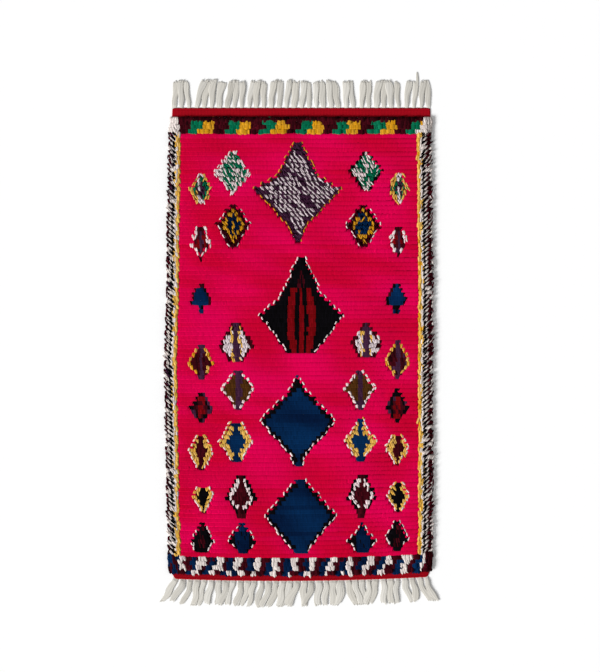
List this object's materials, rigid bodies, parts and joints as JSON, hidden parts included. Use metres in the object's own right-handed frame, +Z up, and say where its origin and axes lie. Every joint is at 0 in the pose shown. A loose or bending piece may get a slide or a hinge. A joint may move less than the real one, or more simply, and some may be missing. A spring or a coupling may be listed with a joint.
{
  "type": "hand-knotted wool rug",
  "caption": "Flat hand-knotted wool rug with a ribbed pink pile, lozenge motifs, knotted borders, red flat-woven ends and a cream warp fringe at each end.",
  "frame": {"origin": "on the floor under the middle of the whole rug, fringes included", "axes": "+Y along the length towards the far end, +X to the right across the rug, +Z up out of the pile"},
  "size_m": [1.1558, 2.2102, 0.0187],
  "materials": {
    "pink_pile": "dull hot pink wool pile",
    "red_weave": "dull weft-faced red wool",
    "cream_warp": "undyed plied wool",
    "gold_yarn": "dull wool pile",
    "white_yarn": "dull wool pile",
    "blue_yarn": "dull wool pile",
    "green_yarn": "dull wool pile",
    "plum_yarn": "dull wool pile",
    "maroon_yarn": "dull wool pile",
    "brown_yarn": "dull wool pile",
    "black_yarn": "dull wool pile"
  },
  "bodies": {
    "root": {"pile_body": "pink_pile", "flat_weave_far": "red_weave", "flat_weave_near": "red_weave", "fringe_far": "cream_warp", "fringe_near": "cream_warp"}
  },
  "joints": []
}
